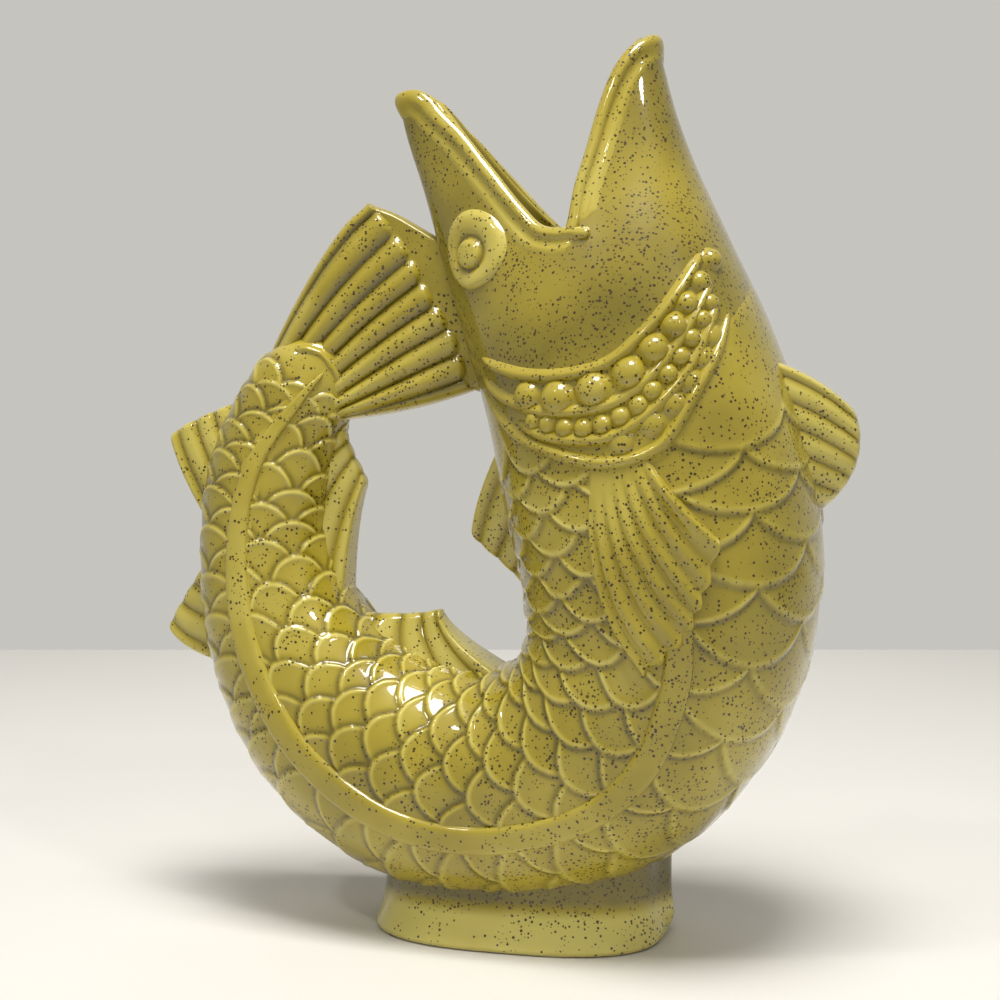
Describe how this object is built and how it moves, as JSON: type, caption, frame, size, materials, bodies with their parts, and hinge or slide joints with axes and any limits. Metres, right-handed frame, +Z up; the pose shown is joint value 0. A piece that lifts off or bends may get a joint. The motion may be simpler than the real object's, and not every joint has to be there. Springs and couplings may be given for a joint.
{
  "type": "gurgle jug",
  "caption": "Hollow glazed jug shaped as a leaping fish: open jaws pour, the curled hollow tail is the handle, and an oval foot carries it.",
  "frame": {"origin": "middle of the foot's flat underside, on the table", "axes": "+Z up; +X from the tail to the belly side, in the jug's plane of symmetry; +Y across the fish"},
  "size_m": [0.2024, 0.0888, 0.2476],
  "materials": {
    "glaze": "glossy speckled yellow glaze"
  },
  "bodies": {
    "root": {"front_shell": "glaze", "back_shell": "glaze", "foot_ring": "glaze", "foot_base": "glaze", "mouth_lip": "glaze", "front_eye": "glaze", "back_eye": "glaze", "front_gill_lines": "glaze", "back_gill_lines": "glaze", "front_gill_beads": "glaze", "back_gill_beads": "glaze", "front_flank_band": "glaze", "back_flank_band": "glaze", "front_side_fin": "glaze", "back_side_fin": "glaze", "belly_fin": "glaze", "neck_fin": "glaze", "loop_fin": "glaze", "tail_back_fin": "glaze", "upper_tail_fin": "glaze", "lower_tail_fin": "glaze", "tail_fan": "glaze"}
  },
  "joints": []
}
